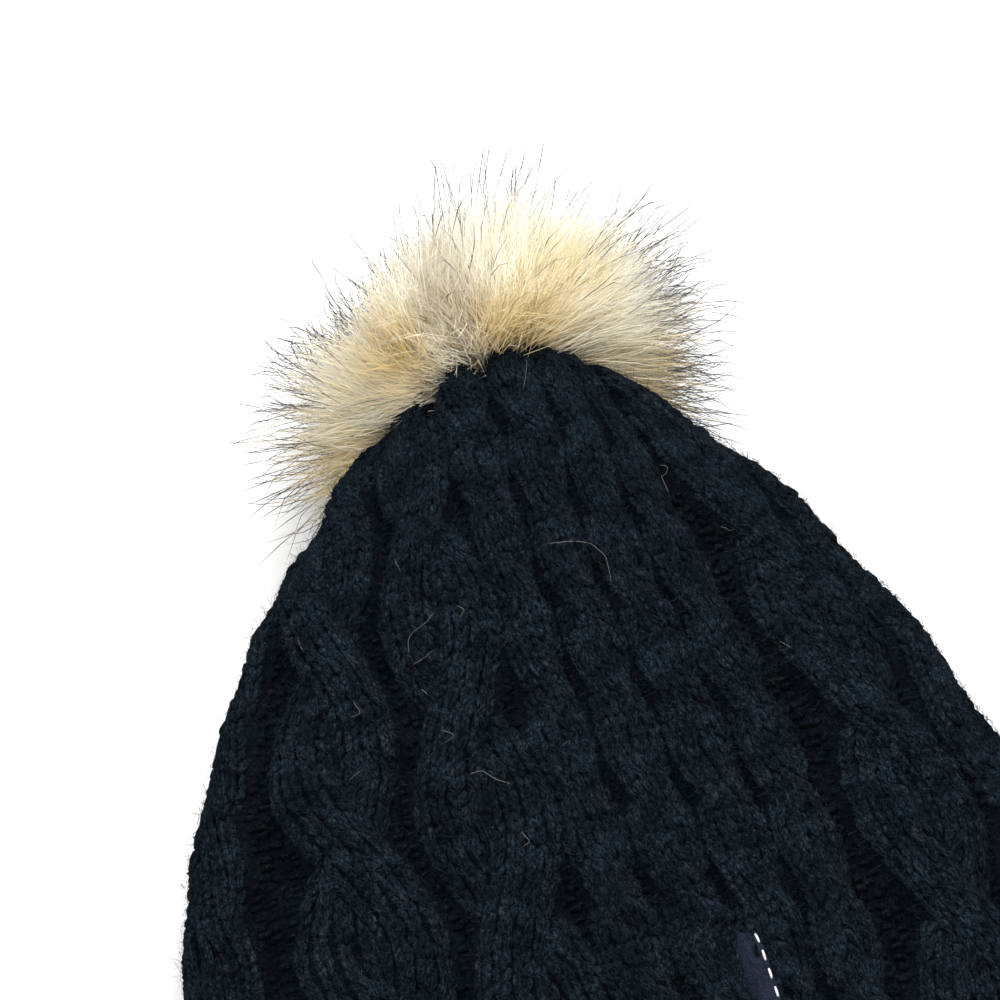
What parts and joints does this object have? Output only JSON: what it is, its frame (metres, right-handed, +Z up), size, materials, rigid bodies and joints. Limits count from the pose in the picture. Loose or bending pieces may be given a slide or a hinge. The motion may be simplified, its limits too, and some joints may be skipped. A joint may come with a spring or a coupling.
{
  "type": "cable knit hat with a faux fur pompom",
  "caption": "Slouchy cable knit hat lying on its underside, with a gathered crown, a ribbed brim band and a faux fur pompom.",
  "frame": {"origin": "on the surface the hat lies on, under the middle of the crown's width, on the flattened underside", "axes": "+Z up, +Y from the open brim toward the pompom, +X to the right seen from the brim"},
  "size_m": [0.2445, 0.3466, 0.1052],
  "materials": {
    "dark_wool": "brushed dark navy-black knit yarn, fuzzy and matt",
    "dark_rib": "the same yarn in a two-by-two rib",
    "faux_fur": "long faux fur, grey-beige at the roots, golden to cream, with black guard-hair tips",
    "dark_cord": "dark twisted tie cord and button",
    "black_satin": "plain black satin ribbon with a pale stitched edge, no lettering"
  },
  "bodies": {
    "root": {"crown_knit": "dark_wool", "brim_rib_band": "dark_rib", "pompom": "faux_fur", "pompom_tie": "dark_cord", "woven_label": "black_satin"}
  },
  "joints": []
}
